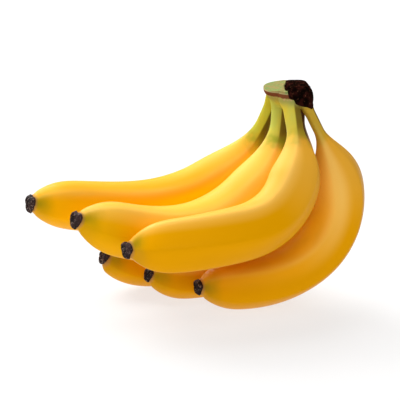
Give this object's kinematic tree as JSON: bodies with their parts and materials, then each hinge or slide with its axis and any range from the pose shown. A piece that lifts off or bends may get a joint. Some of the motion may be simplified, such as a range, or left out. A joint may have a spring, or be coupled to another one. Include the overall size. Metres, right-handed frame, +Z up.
{
  "type": "bunch of bananas",
  "caption": "Bunch of ripe, curved fruit in an upper and an under row, hanging by slim necks from one cut crown; rests on the under row's bellies.",
  "frame": {"origin": "middle of the bottom of the bounding box, on the plane the under row's bellies rest on", "axes": "+Z up; the flower ends point towards -X and the crown stands over +X; each row spreads along Y"},
  "size_m": [0.2134, 0.1462, 0.155],
  "materials": {
    "peel": "smooth waxy ripe peel",
    "crown": "fibrous, pale fresh cut beside a dark dried end",
    "flower_end": "dry and dark"
  },
  "bodies": {
    "root": {"crown": "crown", "banana_top_back": "peel", "banana_top_middle": "peel", "banana_top_front": "peel", "banana_under_back": "peel", "banana_under_middle": "peel", "banana_under_front": "peel", "flower_end_top_back": "flower_end", "flower_end_top_middle": "flower_end", "flower_end_top_front": "flower_end", "flower_end_under_back": "flower_end", "flower_end_under_middle": "flower_end", "flower_end_under_front": "flower_end"}
  },
  "joints": []
}
